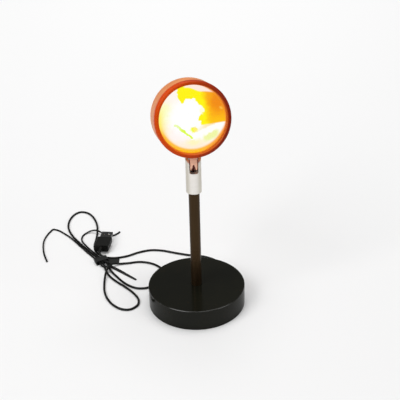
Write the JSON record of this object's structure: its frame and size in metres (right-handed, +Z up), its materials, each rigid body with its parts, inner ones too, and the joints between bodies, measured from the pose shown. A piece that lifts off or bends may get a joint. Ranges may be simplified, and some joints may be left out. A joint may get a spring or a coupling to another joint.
{
  "type": "sunset projection lamp",
  "caption": "Small table lamp with a weighted round base, slim pole, swivel and tilt hinge and a drum head with a coloured lens; black USB cord tied in a bundle.",
  "frame": {"origin": "middle of the round base on the surface it stands on", "axes": "+Z up along the pole; the lamp faces -Y, its head turned 11 degrees towards +X; the cord leaves at the back right"},
  "size_m": [0.2135, 0.2245, 0.222],
  "materials": {
    "foam": "matte foam",
    "steel": "plain zinc",
    "weight": "as cast",
    "base_black": "semi-gloss black",
    "pole_brown": "satin brown-black",
    "brass": "plain",
    "cord_black": "satin",
    "barrel_satin": "satin",
    "dark_steel": "black oxide",
    "fibre_brown": "fibre",
    "wire_red": "satin",
    "housing_copper": "satin copper-orange",
    "sink_aluminium": "plain",
    "board_white": "white",
    "emitter_yellow": "phosphor",
    "reflector_white": "white",
    "clip_grey": "plain",
    "filter_amber": "dichroic amber",
    "gasket_amber": "amber silicone",
    "lens_glass": "polished",
    "ring_orange": "satin orange-red",
    "plug_nickel": "dark nickel",
    "strap_black": "satin"
  },
  "bodies": {
    "base": {"foot_pad": "foam", "base_plate": "steel", "base_weight": "weight", "base_cover": "base_black", "base_screws": "steel", "pole_tube": "pole_brown", "pole_washer": "steel", "pole_nut": "brass", "cord_relief": "cord_black", "inner_lead": "cord_black", "cord_lead": "cord_black", "cord_loop_back": "cord_black", "cord_loop_front": "cord_black", "cord_return": "cord_black", "plug_grip": "cord_black", "plug_shell": "plug_nickel", "plug_tongue": "board_white", "plug_contacts": "brass", "cord_strap": "strap_black", "tie_wire": "strap_black"},
    "swivel": {"hinge_barrel": "barrel_satin", "swivel_screw": "dark_steel", "pivot_screw": "steel", "pivot_washers": "fibre_brown", "pivot_sleeve": "fibre_brown", "hinge_wire": "wire_red"},
    "head": {"head_bracket": "housing_copper", "bracket_nut": "steel", "head_wire": "wire_red", "rear_housing": "housing_copper", "housing_screws": "dark_steel", "heat_sink": "sink_aluminium", "led_board": "board_white", "led_emitter": "emitter_yellow", "board_screws": "steel", "reflector_cup": "reflector_white", "filter_clip": "clip_grey", "colour_filter": "filter_amber", "lens_gasket": "gasket_amber", "front_lens": "lens_glass", "front_ring": "ring_orange"}
  },
  "joints": [
    {"name": "head_swivel", "type": "hinge", "parent": "base", "child": "swivel", "pos_m": [0, 0, 0.12575], "axis": [0, 0, 1], "range_deg": [-170, 170]},
    {"name": "head_tilt", "type": "hinge", "parent": "swivel", "child": "head", "pos_m": [0, 0, 0.146], "axis": [0.9962, 0.0872, 0], "range_deg": [-76.5, 103.5]}
  ]
}
